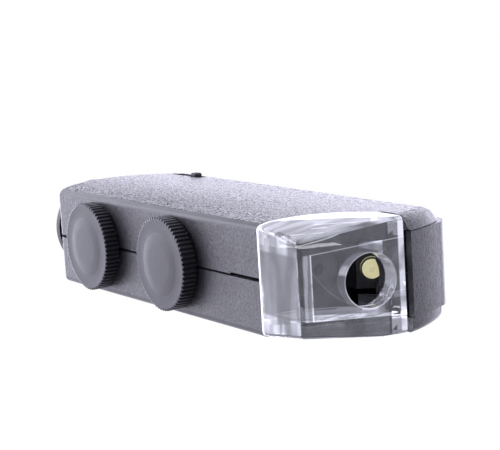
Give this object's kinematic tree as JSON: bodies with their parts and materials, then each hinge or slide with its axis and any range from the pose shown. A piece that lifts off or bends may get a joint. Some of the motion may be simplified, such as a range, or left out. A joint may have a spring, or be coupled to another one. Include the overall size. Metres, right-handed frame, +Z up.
{
  "type": "pocket microscope",
  "caption": "Flat pocket microscope with side knobs for zoom and focus, a built-in lamp and a clear foot with a viewing hole.",
  "frame": {"origin": "on the optical axis, inside the land of the eyepiece collar", "axes": "+X along the optical axis from the eyepiece to the clear foot, +Z up out of the broad top face, -Y is the knob side"},
  "size_m": [0.1252, 0.0456, 0.0258],
  "materials": {
    "body_plastic": "spark-eroded grain",
    "clear_acrylic": "polished clear",
    "black_plastic": "smooth matt",
    "lens_glass": "polished",
    "knob_plastic": "fine matt",
    "steel": "turned",
    "spring_steel": "stamped",
    "washer_fibre": "pressed fibre",
    "screw_steel": "blackened",
    "led_epoxy": "water-clear over yellow phosphor",
    "tinned_wire": "tinned",
    "cell_steel": "nickel plated",
    "contact_nickel": "plated spring strip",
    "resistor_body": "lacquered",
    "red_insulation": "extruded",
    "black_insulation": "extruded",
    "switch_metal": "stamped",
    "switch_nub": "fine ribs",
    "brass": "turned"
  },
  "bodies": {
    "case": {"top_shell": "body_plastic", "bottom_shell": "body_plastic", "clear_foot": "clear_acrylic", "eyepiece_ring": "black_plastic", "eye_lens": "lens_glass", "eye_lens_retainer": "black_plastic", "knob_washers": "washer_fibre", "case_screws": "screw_steel", "led_lamp": "led_epoxy", "led_leads": "tinned_wire", "lamp_bracket": "black_plastic", "button_cells": "cell_steel", "battery_cradle": "black_plastic", "battery_contact_minus": "contact_nickel", "battery_contact_plus": "contact_nickel", "series_resistor": "resistor_body", "red_wire": "red_insulation", "black_wire": "black_insulation", "switch_body": "switch_metal"},
    "battery_cover": {"battery_cover": "body_plastic"},
    "focus_knob_set": {"focus_knob": "knob_plastic", "focus_shaft": "steel", "focus_clip": "spring_steel"},
    "focus_tube": {"focus_carriage": "black_plastic", "objective_lens": "lens_glass", "objective_retainer": "brass"},
    "zoom_knob_set": {"zoom_knob": "knob_plastic", "zoom_shaft": "steel", "zoom_clip": "spring_steel"},
    "zoom_tube": {"zoom_carriage": "black_plastic", "zoom_lens": "lens_glass", "zoom_lens_retainer": "black_plastic"},
    "light_switch": {"switch_slider": "switch_nub"}
  },
  "joints": [
    {"name": "focus_knob_turn", "type": "hinge", "parent": "case", "child": "focus_knob_set", "pos_m": [0.0687, -0.016, 0], "axis": [0, 1, 0], "range_deg": [-100, 100]},
    {"name": "focus_tube_slide", "type": "slide", "parent": "case", "child": "focus_tube", "axis": [1, 0, 0], "range_m": [-0.0054, 0.0054]},
    {"name": "zoom_knob_turn", "type": "hinge", "parent": "case", "child": "zoom_knob_set", "pos_m": [0.0318, -0.016, 0], "axis": [0, 1, 0], "range_deg": [-120, 120]},
    {"name": "zoom_tube_slide", "type": "slide", "parent": "case", "child": "zoom_tube", "axis": [1, 0, 0], "range_m": [-0.0065, 0.0065]},
    {"name": "light_switch_slide", "type": "slide", "parent": "case", "child": "light_switch", "axis": [-1, 0, 0], "range_m": [0, 0.004]},
    {"name": "battery_cover_slide", "type": "slide", "parent": "case", "child": "battery_cover", "axis": [1, 0, 0], "range_m": [0, 0.03]}
  ],
  "couplings": [
    {"joint": "focus_tube_slide", "follows": "focus_knob_turn", "m_per_rad": 0.003},
    {"joint": "zoom_tube_slide", "follows": "zoom_knob_turn", "m_per_rad": 0.003}
  ]
}
